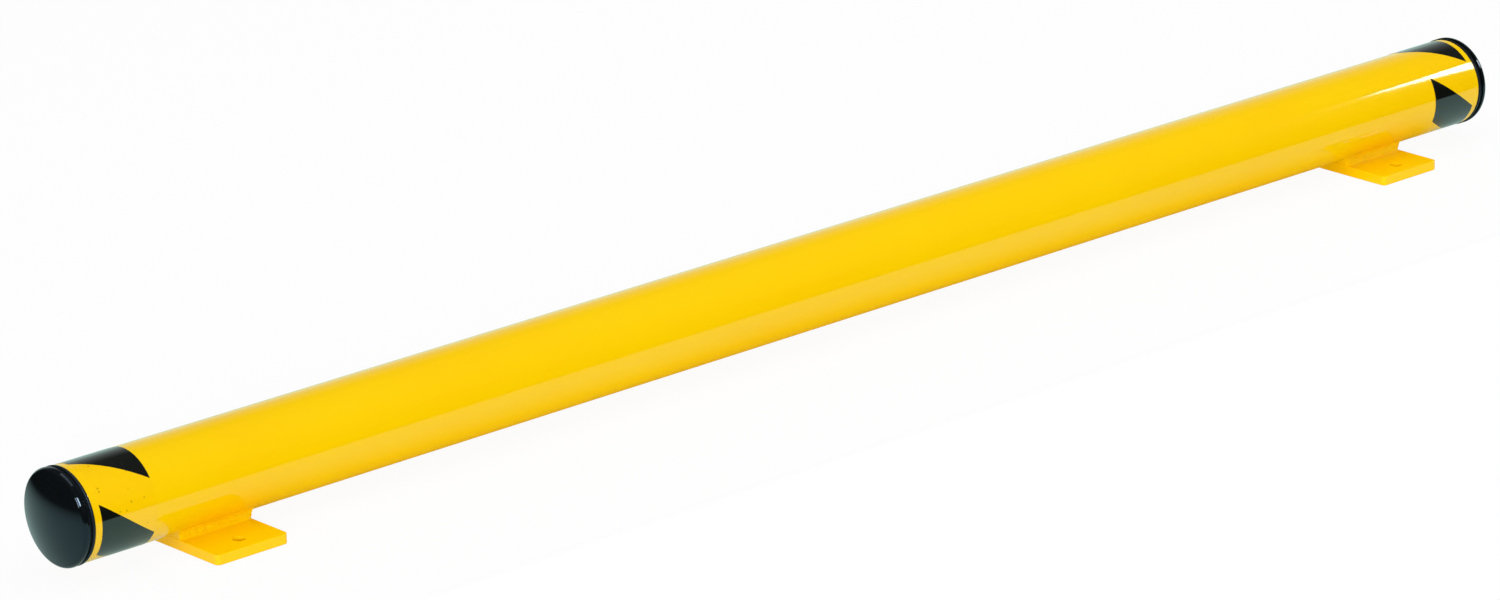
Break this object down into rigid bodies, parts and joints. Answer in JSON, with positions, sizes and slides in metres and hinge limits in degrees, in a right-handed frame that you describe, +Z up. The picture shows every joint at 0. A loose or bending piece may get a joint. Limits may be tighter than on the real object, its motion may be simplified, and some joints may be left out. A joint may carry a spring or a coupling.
{
  "type": "horizontal safety bollard",
  "caption": "Yellow steel pipe guard lying low along the floor, welded across flat anchor plates, with domed black end caps and black-and-yellow hazard tape near its ends.",
  "frame": {"origin": "on the floor, midway between the base plates, under the pipe's axis", "axes": "+X along the pipe, +Z up, -Y the front"},
  "size_m": [2.3376, 0.2032, 0.1281],
  "materials": {
    "pipe_paint": "glossy powder coat",
    "plate_paint": "glossy powder coat",
    "weld_paint": "glossy powder coat over a weld bead",
    "cap_plastic": "moulded polyethylene, semi-gloss",
    "tape_yellow": "vinyl film",
    "tape_black": "printed vinyl film"
  },
  "bodies": {
    "root": {"pipe": "pipe_paint", "left_base_plate": "plate_paint", "right_base_plate": "plate_paint", "left_front_weld": "weld_paint", "left_back_weld": "weld_paint", "right_front_weld": "weld_paint", "right_back_weld": "weld_paint", "left_end_cap": "cap_plastic", "right_end_cap": "cap_plastic", "left_tape_film": "tape_yellow", "right_tape_film": "tape_yellow", "left_tape_stripes": "tape_black", "right_tape_stripes": "tape_black"}
  },
  "joints": []
}
